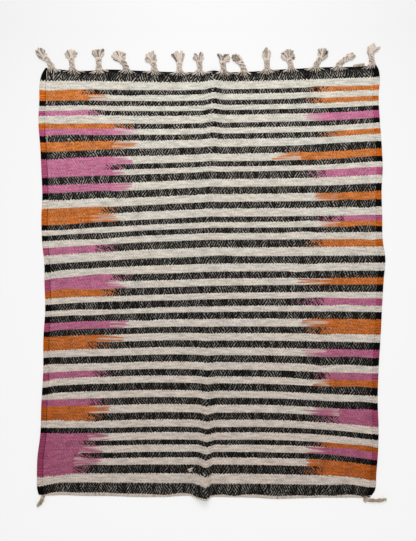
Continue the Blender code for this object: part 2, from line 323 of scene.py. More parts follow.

# Where a weft line strays from that bow: the weaver filled up a low place before the next band.
# The amount is towards the loop end, at most in the middle of its reach.
# Picked from a program's list of where the bands of a render stood off those of the photo.
Slip = namedtuple("Slip", "line across reach amount")
SLIPS = (
    Slip(2, -700, 120, 4.5),
    Slip(2, 490, 110, -4),
    Slip(3, -370, 120, 4),
    Slip(4, 435, 90, -4),
    Slip(6, -520, 70, -4),
    Slip(8, -735, 60, -5),
    Slip(9, -720, 130, -4),
    Slip(9, -413, 60, -5),
    Slip(10, -650, 130, -4.5),
    Slip(12, -660, 220, 5.5),
    Slip(12, 560, 240, -5),
    Slip(13, -710, 110, 4.5),
    Slip(13, 384, 60, -5),
    Slip(18, -500, 100, -3),
    Slip(19, -470, 110, -4),
    Slip(19, -735, 60, -4),
    Slip(20, 600, 60, -4.5),
    Slip(21, -735, 60, -4),
    Slip(21, 685, 70, 5),
    Slip(22, -650, 210, 6),
    Slip(23, -640, 170, 5),
    Slip(23, 435, 90, -4),
    Slip(24, 680, 90, -5.5),
    Slip(25, -500, 130, 4.5),
    Slip(25, 400, 90, -5),
    Slip(26, 710, 50, 5),
    Slip(28, 40, 110, -3.5),
    Slip(29, -735, 80, 7),
    Slip(29, 430, 100, 5),
    Slip(30, -740, 50, 5),
    Slip(30, -500, 150, -6),
    Slip(30, 384, 60, 4.5),
    Slip(31, -480, 120, -7),
    Slip(31, 490, 150, 3.5),
    Slip(32, -650, 110, -9),
    Slip(33, -450, 240, 3.5),
    Slip(34, 480, 140, -3.5),
    Slip(35, -430, 220, 5),
    Slip(35, 600, 70, -4.5),
    Slip(36, -530, 110, 4),
    Slip(37, -289, 70, 4),
    Slip(38, -735, 50, 5),
    Slip(39, 490, 60, 4.5),
    Slip(40, -520, 60, -4),
    Slip(42, -710, 80, -4.5),
    Slip(42, 620, 80, -4),
    Slip(43, -710, 90, -5),
    Slip(43, 490, 70, 6),
    Slip(43, 705, 50, 5),
    Slip(45, -740, 50, 8),
    Slip(45, 430, 100, 4.5),
    Slip(46, -740, 50, 5),
    Slip(46, 650, 90, -4),
    Slip(47, -740, 45, 7),
    Slip(48, 670, 90, -4.5),
    Slip(49, 690, 90, -5),
    Slip(51, -680, 45, -4.5),
    Slip(51, -520, 50, 4),
    Slip(54, 670, 90, -4.5),
    Slip(55, 620, 80, -5),
    Slip(56, -608, 50, 5),
    Slip(57, -608, 60, -8),
    Slip(58, -608, 50, 5),
    Slip(59, -715, 130, 9),
    Slip(59, -770, 60, 6),
    Slip(59, 710, 60, 5),
    Slip(60, -775, 110, 16),
    Slip(60, 610, 90, -7),
)


def bow(across, along):
    """How far the wefts stand from their level: smooth along each station, then smooth across."""
    stations = np.stack([table_curve(along, BOWS, "along", name) for name in Bow._fields[1:]], -1)
    slopes = np.gradient(stations, BOW_ACROSS, axis=-1)
    low = np.clip(np.searchsorted(BOW_ACROSS, across) - 1, 0, len(BOW_ACROSS) - 2)
    run = BOW_ACROSS[low + 1] - BOW_ACROSS[low]
    t = np.clip((across - BOW_ACROSS[low]) / run, 0, 1)
    at_stations = [
        np.take_along_axis(values, (low + step)[..., None], -1)[..., 0]
        for values in (stations, slopes)
        for step in (0, 1)
    ]
    return eased(t, run, *at_stations)


def slips(across):
    """How far each weft line strays: for each of its slips, a cosine bell about its middle."""
    strayed = np.zeros(across.shape)
    for s in SLIPS:
        off = np.clip(np.abs(across[s.line - 1] - s.across) / s.reach, 0, 1)
        strayed[s.line - 1] += s.amount * np.cos(off * math.pi / 2) ** 2
    return strayed


# The cloth: its mesh
# One closed sheet: a top and an underside that share their rim. A row runs along every weft line
# between two bands, and the columns follow the warps and close up at the crease and the selvedges.
SELVEDGE = 27.0
SELVEDGE_RISE = 0.9
SEAM_DEPTH = 1.1
SEAM_WIDTH = 2.0
BAND_CROWN = 0.5
COCKLE = 0.7
COCKLE_LENGTHS = (35, 120)
RELIEF_LIMITS = (-1.8, 2.4)
LOOP_EDGE = 9.0
RIM = 2.5
RIM_STEPS = (0.0, 0.7, RIM)
SIDE_STEPS = (6, 12, 18, 23, 25.5, 27, 28.5, 32, 40)
CREASE_STEPS = (60, 52, 45, 38, 32, 26, 20, 15, 10, 6, 3)
BODY_STEP = 15.0
ROWS_EACH = 4
END_AT_MIDDLE = 900.0
PLACING_PASSES = 3

band_levels = FIRST_BAND + np.concatenate([[0], np.cumsum(column(BANDS, "height"))])
band_count = len(BANDS)


def weft_lines():
    """Each row's place in the bands: whole numbers at their edges, and one more band for the loops."""
    inner = np.arange(0, band_count + 1e-6, 1 / ROWS_EACH)
    first = np.array(RIM_STEPS[1:]) / BANDS[0].height
    loops = 1 - np.array(RIM_STEPS) / LOOP_EDGE
    return np.sort(np.concatenate([inner, first, band_count + loops, [band_count + 0.4]]))


def warp_lines():
    """Each column's place across, if the rug were a plain rectangle."""
    outer = HALF_WIDTH - np.array([*RIM_STEPS, *SIDE_STEPS], float)
    steps = round((outer[-1] - CREASE_REACH) / BODY_STEP)
    body = np.linspace(outer[-1], CREASE_REACH, steps + 1)[1:-1]
    half = np.concatenate([outer, body, CREASE_STEPS])
    return np.concatenate([-half, [0], half[::-1]])


def lay_across(plain, along):
    """A plain place across on the real rug: the crest keeps its width, and the rest fills up to the sides."""
    crest = table_curve(along, CREST, "along", "across")
    left = -table_curve(along, SIDES, "along", "left")
    right = table_curve(along, SIDES, "along", "right")
    side = np.where(plain < 0, left, right)
    beyond = np.clip(np.abs(plain) - CREASE_REACH, 0, None) / (HALF_WIDTH - CREASE_REACH)
    foot = crest + np.clip(plain, -CREASE_REACH, CREASE_REACH)
    return foot + (side - foot) * beyond


def waves(across, along, seed, count, shortest, longest):
    """An even, seeded ripple about nought: many plane waves of random length and heading, added up."""
    chance = np.random.default_rng(seed)
    total = np.zeros(np.broadcast(across, along).shape)
    for _ in range(count):
        length = chance.uniform(shortest, longest)
        heading = chance.uniform(0, math.pi)
        start = chance.uniform(0, math.tau)
        travel = across * math.cos(heading) + along * math.sin(heading)
        total += np.sin(travel * math.tau / length + start)
    return total / math.sqrt(count)


def surface_normals(points):
    """The upward unit normal at each point of a grid, from the differences along its two directions."""
    down = np.gradient(points, axis=0)
    over = np.gradient(points, axis=1)
    normal = np.cross(over, -down)
    return normal / np.linalg.norm(normal, axis=-1, keepdims=True)


bands_at = weft_lines()
plain_at = warp_lines()

levels = np.interp(bands_at, np.arange(band_count + 1), band_levels)
plain_along = np.clip(levels - (TASSEL_END_LEVEL - END_AT_MIDDLE), 0, LENGTH)
across = lay_across(plain_at[None, :], plain_along[:, None])

# A weft's place depends on how far across it is, and the other way round, so they settle in passes.
line_numbers = np.arange(1, band_count + 1)
for _ in range(PLACING_PASSES):
    tassel_end = woven_edge(across, 1)
    loop_end = woven_edge(across, -1)
    line_along = band_levels[1:, None]
    line_across = np.stack([np.interp(line_numbers, bands_at, column_at) for column_at in across.T], 1)
    line_up = TASSEL_END_LEVEL - line_along - bow(line_across, line_along + 0 * line_across)
    line_up = line_up - slips(line_across)
    line_up[-1] = loop_end[-1] + table_curve(line_across[-1], LOOPS, "across", "width")
    line_up = np.vstack([tassel_end[:1], line_up, loop_end[-1:]])
    all_numbers = np.arange(band_count + 2)
    up = np.stack([np.interp(bands_at, all_numbers, column_up) for column_up in line_up.T], 1)
    cloth_along = LENGTH * (tassel_end - up) / (tassel_end - loop_end)
    across = lay_across(plain_at[None, :], cloth_along)

middle = np.stack([across, up, underside(across, cloth_along) + CLOTH_THICKNESS / 2], -1)
normals = surface_normals(middle)

from_side = HALF_WIDTH - np.abs(plain_at)[None, :]
to_ends = np.minimum(tassel_end - up, up - loop_end)
to_rim = np.clip(np.minimum(from_side, to_ends) / RIM, 0, 1)
fullness = np.sqrt(1 - (1 - to_rim) ** 2)
in_band = bands_at[:, None] % 1
crown = BAND_CROWN * np.sin(in_band * math.pi) * (from_side > SELVEDGE)
roll = SELVEDGE_RISE * np.sin(np.clip(from_side / SELVEDGE, 0, 1) * math.pi) ** 0.6
seam = SEAM_DEPTH * np.exp(-(((from_side - SELVEDGE) / SEAM_WIDTH) ** 2))
cockle = COCKLE * waves(across, up, 5, 24, *COCKLE_LENGTHS) * np.clip(from_side / 40, 0, 1)
relief = np.clip(crown + roll - seam + cockle, *RELIEF_LIMITS) * fullness
top = middle + normals * (CLOTH_THICKNESS / 2 * fullness + relief)[..., None]
below = middle - normals * (CLOTH_THICKNESS / 2 * fullness)[..., None]
below[..., 2] = np.clip(below[..., 2], 0, None)


def to_world(points):
    """Points of the tables, in millimetres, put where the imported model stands, in metres."""
    return (np.asarray(points, float) + (SHIFT_ACROSS, SHIFT_UP, 0)) * MM


def make_piece(name, verts, faces, uv_name, uv, marks, material):
    """A smooth mesh object from arrays: its points in metres, its faces, a UV map and named point values."""
    mesh = bpy.data.meshes.new(name)
    mesh.from_pydata(verts, [], faces)
    layer = mesh.uv_layers.new(name=uv_name)
    layer.data.foreach_set("uv", np.asarray(uv, np.float32).ravel())
    for mark, values in marks.items():
        attribute = mesh.attributes.new(mark, "FLOAT", "POINT")
        attribute.data.foreach_set("value", np.asarray(values, np.float32).ravel())
    mesh.shade_smooth()
    mesh.materials.append(material)
    mesh.validate()
    piece = bpy.data.objects.new(name, mesh)
    bpy.context.scene.collection.objects.link(piece)
    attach(piece, "root")
    return piece


def cells(grids):
    """The four corners of each cell of some grids, in turn round the cell."""
    return np.stack([grids[:, :-1, :-1], grids[:, 1:, :-1], grids[:, 1:, 1:], grids[:, :-1, 1:]], 3)


def sheet_faces(rows, columns):
    """Faces of a closed sheet: a full top grid, and an underside grid that shares the top's rim."""
    upper = np.arange(rows * columns).reshape(1, rows, columns)
    lower = upper.copy()
    lower[0, 1:-1, 1:-1] = rows * columns + np.arange((rows - 2) * (columns - 2)).reshape(rows - 2, -1)
    return np.concatenate([cells(upper).reshape(-1, 4), cells(lower)[..., [0, 3, 2, 1]].reshape(-1, 4)])


def both_sides(values):
    """Values of the top's grid for every point of the sheet: the top's, then the underside's inner ones."""
    inner = values[1:-1, 1:-1]
    return np.concatenate([values.reshape(-1, *values.shape[2:]), inner.reshape(-1, *values.shape[2:])])


cloth_faces = sheet_faces(*across.shape)
cloth_points = np.concatenate([top.reshape(-1, 3), below[1:-1, 1:-1].reshape(-1, 3)])
level = levels + np.clip(bands_at - band_count, 0, None) * LOOP_EDGE
cloth_uv = both_sides(np.stack(np.broadcast_arrays(plain_at[None, :], level[:, None]), -1)) * MM
bands_mark = both_sides(np.broadcast_to(bands_at[:, None], across.shape))

# The cloth: its wool
# Weft-faced twill: thick hand-spun wefts beaten down so that the cream warps show only as flecks
# in slanting lines. A dull, slightly hairy surface, with colours that vary from pick to pick.
# The twill repeats at about 10 mm. It is drawn a little coarser, or it would blur.
TWILL_PITCH = 11.4
TWILL_STEEPNESS = 0.6
TWILL_DEPTH = 1.3
CHECK_PITCH = 12.4
RIB_PITCH = 10.5
# Between these margins from the ends the yarns' colours shift as painted light, and the flecks fade.
COLOUR_SHIFT_MARGIN = 100.0
FLECK_WOOL = "ADA79D"
FLECKS_LEFT_FAR = 0.42
FIRST_PICKS = (19.0, 42.0)
LAST_BAND_START = 9.0
LAST_BAND_FLECKS = 1.7
CALM_SIDES = (30.0, 110.0)
FLECKS_LEFT_CALM = 0.1
DUST_WOOL = "DDD6CB"
DUST_SHARE = 0.22
WARM_STAIN = (1.012, 0.996, 0.988, 1)
COOL_STAIN = (0.988, 1.003, 1.01, 1)
# Painted shade: how far and how much the colour darkens in the selvedge's groove, along the crest and on the
# hem.
GROOVE_REACH = (1.0, 3.4)
GROOVE_SHADE = 0.14
GROOVE_SHADE_DYED = 0.5
GROOVE_SHADE_RIGHT = 0.12
CREST_REACH = (1.0, 7.0)
CREST_LIGHT = 0.93
HEM_SHADE = 0.12

# Each yarn: its colour near the tassel end and near the loop end, the same where it wraps
# the selvedge with no warp showing, and how strongly its painted shade and unevenness show.
# Nearer the tassel end the colours are paler and less saturated: painted light, the lamp's haze there.
Yarn = namedtuple("Yarn", "name near far selvedge_near selvedge_far uneven")
YARNS = (
    Yarn("black", "0C0B0C", "090808", "070608", "050505", 1.0),
    Yarn("cream", "DAD5C9", "DDCFC3", "D7D1C5", "D6C7BC", 0.75),
    Yarn("orange", "CF7733", "BB6025", "D26A1F", "A44F1C", 1.0),
    Yarn("pink", "CA769A", "AE5C7A", "B7577E", "9B4262", 0.8),
)


def linear(code):
    """An sRGB hex colour as linear red, green, blue and full alpha."""
    parts = [int(code[k:k + 2], 16) / 255 for k in (0, 2, 4)]
    return (*[p / 12.92 if p <= 0.04045 else ((p + 0.055) / 1.055) ** 2.4 for p in parts], 1.0)


def set_inputs(node, inputs):
    """Gives a node its inputs, by name or in order: each is a value, or another node's output to link."""
    named = inputs if isinstance(inputs, dict) else dict(enumerate(inputs))
    for key, value in named.items():
        if isinstance(value, bpy.types.NodeSocket):
            node.id_data.links.new(value, node.inputs[key])
        else:
            node.inputs[key].default_value = value


def add_node(tree, kind, inputs=(), output=0, **settings):
    """Adds a shader node with its settings and inputs, and gives one of its outputs."""
    node = tree.nodes.new("ShaderNode" + kind)
    for name, value in settings.items():
        setattr(node, name, value)
    set_inputs(node, inputs)
    return node.outputs[output]


def new_material(name):
    """An empty material that is no metal, with its shader and what adds a node to it."""
    material = bpy.data.materials.new(name)
    material.use_nodes = True
    shader = material.node_tree.nodes["Principled BSDF"]
    shader.inputs["Metallic"].default_value = 0.0
    return material, shader, partial(add_node, material.node_tree)


# What is uneven about hand-spun, hand-beaten yarn, each a soft noise in the weave: how many places to
# the metre across and along, how many finer layers, its turn, and which part of it counts how much.
Grain = namedtuple("Grain", "name across along layers turned low high least most")
GRAINS = (
    Grain("grit", 125, 125, 0, 0, 0.3, 0.7, -1, 1),
    Grain("picks", 20, 140, 0, 0, 0.28, 0.72, 0, 1),
    Grain("lean", 30, 40, 1, 0, 0.44, 0.56, 0, 1),
    Grain("drift", 13, 13, 1, 0, 0, 1, 0, 22),
    Grain("dashes", 36, 140, 0, -36, 0.32, 0.68, 0, 1),
    Grain("tongues", 9, 120, 0, 0, 0.3, 0.7, 0, 1),
    Grain("spots", 48, 13, 2, 0, 0.34, 0.66, 0.15, 1.5),
    Grain("slow", 15, 15, 3, 0, 0.3, 0.7, -0.07, 0.07),
    Grain("stain", 5, 5, 2, 0, 0.38, 0.62, 0, 1),
)

RAMP_STOPS = 32
REACH_SCALE = 500.0
YARN_CODES = {"orange": 0.5, "pink": 1.0}


def chart_ramp(add, number, side, first):
    """A weaver's chart as a stepped ramp: for each band its inset's yarn, pure reach and mixed reach."""
    start = add("Math", [number, 0.5 - first], operation="ADD")
    place = add("Math", [start, RAMP_STOPS], operation="DIVIDE")
    chart = add("ValToRGB", [place])
    ramp = chart.node.color_ramp
    ramp.interpolation = "CONSTANT"
    ramp.elements.remove(ramp.elements[1])
    for k in range(RAMP_STOPS):
        band = BANDS[first + k] if first + k < band_count else BANDS[0]
        stop = ramp.elements[0] if k == 0 else ramp.elements.new(k / RAMP_STOPS)
        stop.position = k / RAMP_STOPS
        stop.color = (0, 0, 0, 1)
        inset = getattr(band, side)
        if inset is not None:
            yarn, pure, mixed = inset
            stop.color = (YARN_CODES[yarn], pure / REACH_SCALE, mixed / REACH_SCALE, 1)
    return chart


def weave_wool():
    """The cloth's wool: bands looked up by number, insets by their reach, flecks and shade by the twill."""
    material, shader, add = new_material("weft_faced_wool_twill")
    weave = add("UVMap", uv_map="weave")
    metres = add("SeparateXYZ", [weave]).node.outputs
    u = add("Math", [metres[0], 1 / MM], operation="MULTIPLY")
    v = add("Math", [metres[1], 1 / MM], operation="MULTIPLY")
    band = add("Attribute", output=2, attribute_name="band")
    far = add("MapRange", [v, COLOUR_SHIFT_MARGIN, LENGTH - COLOUR_SHIFT_MARGIN])

    def summed(start, *parts):
        """The start with each part added, times its share."""
        for share, part in parts:
            start = add("Math", [part, share, start], operation="MULTIPLY_ADD")
        return start

    def product(start, *factors):
        """The start times each factor."""
        for factor in factors:
            start = add("Math", [start, factor], operation="MULTIPLY")
        return start

    def slanting(start, steepness, pitch):
        """A wave over slanting lines: the sine of the start plus the steepness times the place along."""
        angle = product(summed(start, (steepness, v)), math.tau / pitch)
        return add("Math", [angle], operation="SINE")

    grain = {}
    for g in GRAINS:
        at = weave
        if g.turned:
            turn = {"Vector": weave, "Angle": math.radians(g.turned)}
            at = add("VectorRotate", turn, rotation_type="Z_AXIS")
        at = add("VectorMath", [at, (g.across, g.along, 1.0)], operation="MULTIPLY")
        noise = add("TexNoise", {"Vector": at, "Scale": 1.0, "Detail": g.layers}, noise_dimensions="2D")
        grain[g.name] = add("MapRange", [noise, g.low, g.high, g.least, g.most])
    grit = grain["grit"]
    tongues = grain["tongues"]

    # the twill's slanting lines lean one way or the other in patches
    shaken = add("Math", [grain["drift"], u], operation="ADD")
    rising = slanting(shaken, TWILL_STEEPNESS, TWILL_PITCH)
    falling = slanting(shaken, -TWILL_STEEPNESS, TWILL_PITCH)
    twill = add("Mix", {0: grain["lean"], 2: rising, 3: falling}, data_type="FLOAT")

    # the wefts of two bands mesh along their border, so it is toothed
    toothed = add("Math", [summed(band, (0.045, twill), (0.035, grit)), 0.0], operation="MAXIMUM")
    number = add("Math", [toothed], operation="FLOOR")
    pale = add("Math", [number, 2.0], operation="MODULO")

    # the chart of the insets: the left or the right side's, first or second half
    second = add("Math", [number, RAMP_STOPS - 0.5], operation="GREATER_THAN")
    rightward = add("Math", [u, 0.0], operation="GREATER_THAN")
    sides = []
    for side in ("left", "right"):
        early, late = (chart_ramp(add, number, side, first) for first in (0, RAMP_STOPS))
        sides.append(add("Mix", {0: second, 6: early, 7: late}, 2, data_type="RGBA"))
    chart = add("Mix", {0: rightward, 6: sides[0], 7: sides[1]}, 2, data_type="RGBA")
    code, pure, mixed = add("SeparateColor", [chart]).node.outputs[:3]
    away = add("Math", [u], operation="ABSOLUTE")
    inward = add("Math", [HALF_WIDTH, away], operation="SUBTRACT")
    reaches = [inward, product(pure, REACH_SCALE), product(mixed, REACH_SCALE)]
    gone_past = add("MapRange", reaches, clamp=False)
    gone = add("MapRange", [gone_past])
    inset = add("Math", [code, 0.25], operation="GREATER_THAN")
    is_pink = add("Math", [code, 0.75], operation="GREATER_THAN")

    # where two yarns mix they are picked in turn, so black holds a slanting check and cream holds
    # streaks, and each pick of the inset ends at its own place
    leaning = slanting(u, 1.0, CHECK_PITCH)
    check = add("Math", [leaning, slanting(u, -1.0, CHECK_PITCH)], operation="ADD")
    dark_hold = summed(0.23, (0.16, check), (0.46, grain["dashes"]))
    pale_hold = summed(-0.09, (0.72, tongues), (0.42, grain["picks"]), (0.10, grit))
    hold = add("Mix", {0: pale, 2: dark_hold, 3: pale_hold}, data_type="FLOAT")
    given = summed(summed(0.32, (-0.18, pale)), (summed(0.54, (-0.22, pale)), gone))
    left_over = add("Math", [hold, given], operation="SUBTRACT")
    blend = summed(0.2, (0.38, pale))
    cover = add("MapRange", [left_over, product(blend, -1.0), blend], interpolation_type="SMOOTHSTEP")
    within = add("Math", [summed(gone_past, (-0.4, tongues)), 0.8], operation="LESS_THAN")
    not_begun = summed(gone_past, (-0.32, product(tongues, pale)))
    not_begun = add("Math", [not_begun, 0.001], operation="LESS_THAN")
    cover = add("Math", [product(cover, within), not_begun], operation="MAXIMUM")
    cover = product(cover, inset)

    # the selvedge hides its warps; elsewhere they show as pale flecks between the wefts, more in some
    # patches, near the tassels and in the last band, and less towards the sides at the loop end
    edge = add("Math", [inward, SELVEDGE], operation="LESS_THAN")
    body = add("Math", [1.0, edge], operation="SUBTRACT")
    fade = add("MapRange", {0: far, 3: 1.0, 4: FLECKS_LEFT_FAR})
    line = add("MapRange", [summed(twill, (0.55, grit)), -0.2, 1.6])
    first_picks = add("MapRange", [v, *FIRST_PICKS])
    last_band = float(band_levels[-2])
    last_picks = add("MapRange", [v, last_band - LAST_BAND_START, last_band, 1.0, LAST_BAND_FLECKS])
    calm = add("MapRange", [inward, *CALM_SIDES, FLECKS_LEFT_CALM, 1.0])
    calm = add("Mix", {0: far, 2: 1.0, 3: calm}, data_type="FLOAT")
    strength = product(grain["spots"], fade, first_picks, last_picks, calm)
    fleck = add("Math", [product(line, strength), body], operation="MULTIPLY", use_clamp=True)

    # how light each yarn is at a place: painted shade of the twill and of the selvedge's ribs, with the real
    # pick-to-pick and hand-spun unevenness
    rib = slanting(0.0, 1.0, RIB_PITCH)
    pick = add("Math", [grain["picks"], 0.5], operation="SUBTRACT")
    signal = summed(grain["slow"], (0.06, twill), (0.15, grit), (0.38, pick), (0.10, product(rib, edge)))
    colours = {}
    for yarn in YARNS:
        # each yarn's colour mixes from near to far along the rug: painted light, paler and hazier near the
        # tassel end
        dye_and_painted_light = {0: far, 6: linear(yarn.near), 7: linear(yarn.far)}
        dye_and_painted_light = add("Mix", dye_and_painted_light, 2, data_type="RGBA")
        wrapped = {0: far, 6: linear(yarn.selvedge_near), 7: linear(yarn.selvedge_far)}
        wrapped = add("Mix", wrapped, 2, data_type="RGBA")
        dye_and_painted_light = add("Mix", {0: edge, 6: dye_and_painted_light, 7: wrapped}, 2, data_type="RGBA")
        # the yarn's own unevenness and the painted shade of its relief, scaled together
        light = summed(1.0, (yarn.uneven, signal))
        colours[yarn.name] = add("VectorMath", {0: dye_and_painted_light, 3: light}, operation="SCALE")
    black = add("Mix", {0: fleck, 6: colours["black"], 7: linear(FLECK_WOOL)}, 2, data_type="RGBA")
    tint = add("Mix", {0: grain["stain"], 6: WARM_STAIN, 7: COOL_STAIN}, 2, data_type="RGBA")
    cream = add("VectorMath", [colours["cream"], tint], operation="MULTIPLY")
    ground = add("Mix", {0: pale, 6: black, 7: cream}, 2, data_type="RGBA")
    let_in = add("Mix", {0: is_pink, 6: colours["orange"], 7: colours["pink"]}, 2, data_type="RGBA")
    let_in = {0: product(fleck, DUST_SHARE), 6: let_in, 7: linear(DUST_WOOL)}
    let_in = add("Mix", let_in, 2, data_type="RGBA")
    wool = add("Mix", {0: cover, 6: ground, 7: let_in}, 2, data_type="RGBA")

    # painted shade: the colour is darkened in the shadowed groove that divides the selvedge from the cloth,
    # along the crease's crest, and on the hem under the loops
    off_seam = add("Math", [inward, SELVEDGE], operation="SUBTRACT")
    off_seam = add("Math", [off_seam], operation="ABSOLUTE")
    seam = add("MapRange", [off_seam, *GROOVE_REACH, 1.0, 0.0])
    left_depth = add("Mix", {0: cover, 2: GROOVE_SHADE, 3: GROOVE_SHADE_DYED}, data_type="FLOAT")
    depth = add("Mix", {0: rightward, 2: left_depth, 3: GROOVE_SHADE_RIGHT}, data_type="FLOAT")
    lit = add("Math", [1.0, product(seam, depth)], operation="SUBTRACT")
    fold = add("MapRange", [away, *CREST_REACH, CREST_LIGHT, 1.0])
    hem = add("Math", [number, band_count - 0.5], operation="GREATER_THAN")
    lit = product(lit, fold, summed(1.0, (-HEM_SHADE, hem)))
    wool = add("VectorMath", {0: wool, 3: lit}, operation="SCALE")

    relief = summed(add("Mix", {0: edge, 2: twill, 3: rib}, data_type="FLOAT"), (0.15, grit))
    relief = product(relief, summed(1.0, (-0.45, pale)))
    raised = add("Bump", {"Height": relief, "Distance": TWILL_DEPTH * MM, "Strength": 0.9})
    set_inputs(shader, {"Base Color": wool, "Normal": raised, "Roughness": 0.95, "Specular IOR Level": 0.1})
    return material


cloth = make_piece(
    "woven_cloth",
    to_world(cloth_points),
    cloth_faces.tolist(),
    "weave",
    cloth_uv[cloth_faces.ravel()],
    {"band": bands_mark},
    weave_wool(),
)
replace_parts(cloth, "rug")

# The warp tassels
# Along this end the cream warps gather in bundles that are plied into a neck and knotted, and their
# cut ends fan out beyond the knot. Hand-spun wool and cotton yarn, lying flat on the floor.
NECK_UPRIGHT = 0.55
NECK_POINTS = 22
NECK_REACH = (8.6, 2.3)
ROOT_REACH = (13.5, 0.6)
NECK_MIDDLE = 6.9
NECK_LIFT = 1.6
NECK_INSET = 4.0
PLIES = 3
YARNS_EACH_PLY = 3
YARN_RADIUS = 2.5
PLY_REACH = 2.2
PLY_TURNS = 2.2
KNOT_REACH = (9.8, 4.0)
KNOT_YARN = 4.1
KNOT_TURNS = 1.6
KNOT_START = 2.4
KNOT_LENGTH = 9.0
KNOT_POINTS = 26
LOCK_ENDS = 7
END_POINTS = 9
END_RADIUS = 2.5
LOCK_SPACING = 4.3
LOCK_LAYER = 3.4
LOCK_HUMP = 2.2
ENDS_START = 7.5
FAN_WARPS = 11
FAN_POINTS = 11
FAN_REACH = 52.0
FAN_DEPTH = 15.0
FAN_LIMIT = 724.0
FLOOR_GAP = 0.15

# Each tassel, left to right: the place of its root, then its knot and the tips of its locks, given
# across from the root and beyond the cloth's edge, and how often its neck is turned.
Tassel = namedtuple("Tassel", "name root knot turns tips")
TASSELS = (
    Tassel("tassel_01", -707, (-31, 46), 0.6,
           ((-58, 55), (-68, 66), (-70, 79), (-61, 89), (-47, 91), (-34, 83), (-26, 66))),
    Tassel("tassel_02", -615, (-6, 52), 0.9,
           ((-30, 64), (-33, 76), (-23, 89), (-6, 94), (12, 89), (22, 77), (17, 66))),
    Tassel("tassel_03", -498, (-1, 49), 1.6,
           ((-30, 78), (-28, 87), (-16, 90), (-3, 91), (10, 91), (22, 93), (22, 78))),
    Tassel("tassel_04", -376, (-21, 41), 1.0,
           ((-61, 53), (-67, 63), (-58, 77), (-47, 84), (-32, 85), (-16, 80), (-4, 72), (-3, 56))),
    Tassel("tassel_05", -252, (-6, 38), 0.7,
           ((-40, 46), (-43, 58), (-38, 75), (-24, 85), (-7, 91), (4, 72), (10, 54))),
    Tassel("tassel_06", -141, (0, 38), 1.3,
           ((-36, 80), (-25, 85), (-14, 93), (-2, 84), (11, 94), (19, 83))),
    Tassel("tassel_07", -51, (-2, 45), 0.6,
           ((-30, 65), (-24, 82), (-13, 74), (8, 89), (14, 80), (16, 68))),
    Tassel("tassel_08", 54, (-2, 42), 0.7,
           ((-17, 50), (-25, 83), (-14, 77), (11, 79), (24, 77), (31, 65), (29, 51))),
    Tassel("tassel_09", 145, (-16, 42), 0.9,
           ((-38, 45), (-51, 54), (-57, 63), (-54, 72), (-43, 77), (-30, 74), (-17, 63))),
    Tassel("tassel_10", 247, (-1, 46), 1.2,
           ((-18, 72), (-16, 84), (-10, 93), (-3, 101), (4, 90), (11, 87))),
    Tassel("tassel_11", 354, (-9, 38), 0.8,
           ((-40, 45), (-46, 55), (-43, 70), (-33, 79), (-18, 86), (-4, 88), (9, 79), (17, 61), (18, 46))),
    Tassel("tassel_12", 463, (24, 41), 0.8,
           ((9, 66), (11, 82), (27, 88), (42, 85), (54, 73), (54, 56), (45, 48))),
    Tassel("tassel_13", 563, (46, 41), 1.4,
           ((44, 57), (56, 63), (68, 60), (77, 49), (66, 39))),
    Tassel("tassel_14", 712, (-3, 42), 0.9,
           ((-17, 64), (-13, 80), (-3, 87), (10, 93), (15, 82), (27, 66), (37, 76))),
)


def bent(start, middle, finish, share):
    """Points from start to finish, a share of the way along, on the parabola that heads for middle first."""
    share = np.asarray(share)[..., None]
    return (1 - share) ** 2 * start + 2 * share * (1 - share) * middle + share**2 * finish


def unit(vectors):
    """The same vectors, each one long."""
    return vectors / np.maximum(np.linalg.norm(vectors, axis=-1, keepdims=True), 1e-9)


def tubes(lines, radii, sides, tone):
    """Round tubes: rings of points carried along many lines at once, each closed by a point at both ends.

    Gives points, quads, triangles, their places on the yarn (round it, along it) and a tone for each point.
    """
    count, steps = lines.shape[:2]
    radii = np.broadcast_to(radii, (count, steps))
    heading = unit(np.gradient(lines, axis=1))
    sideways = unit(np.cross(heading, (0, 0, 1)))
    lift = np.cross(sideways, heading)
    angle = np.arange(sides) * math.tau / sides
    circle = np.cos(angle)[:, None] * sideways[:, :, None] + np.sin(angle)[:, None] * lift[:, :, None]
    rings = lines[:, :, None] + radii[..., None, None] * circle
    first = lines[:, 0] - heading[:, 0] * radii[:, :1] * 0.4
    last = lines[:, -1] + heading[:, -1] * radii[:, -1:] * 0.4
    points = np.concatenate([rings.reshape(-1, 3), first, last])
    points[:, 2] = np.maximum(points[:, 2], FLOOR_GAP)

    # round each ring the last column of faces meets the first, but its place on the yarn goes on
    index = np.arange(count * steps * sides).reshape(count, steps, sides)
    index = np.concatenate([index, index[..., :1]], -1)
    gone = np.linalg.norm(np.diff(lines, axis=1), axis=-1)
    along = np.concatenate([np.zeros((count, 1)), np.cumsum(gone, 1)], 1)
    place = np.empty((count, steps, sides + 1, 2))
    place[..., 0] = np.arange(sides + 1) * math.tau / sides * radii[..., None]
    place[..., 1] = along[..., None]
    quads = cells(index).reshape(-1, 4)
    places = [cells(place).reshape(-1, 2)]
    triangles = []
    for number, (row, turn) in enumerate(((0, 1), (-1, -1))):
        tip = count * steps * sides + number * count + np.arange(count)
        rim = index[:, row, ::turn]
        rim_place = place[:, row, ::turn]
        tip = np.broadcast_to(tip[:, None], (count, sides))
        triangles.append(np.stack([tip, rim[:, :-1], rim[:, 1:]], -1).reshape(-1, 3))
        corners = [rim_place[:, :-1], rim_place[:, :-1], rim_place[:, 1:]]
        places.append(np.stack(corners, -2).reshape(-1, 2))
    tone = np.broadcast_to(tone, (count,))
    tones = np.concatenate([np.repeat(tone, steps * sides), tone, tone])
    return points, quads, np.concatenate(triangles), np.concatenate(places) * MM, tones


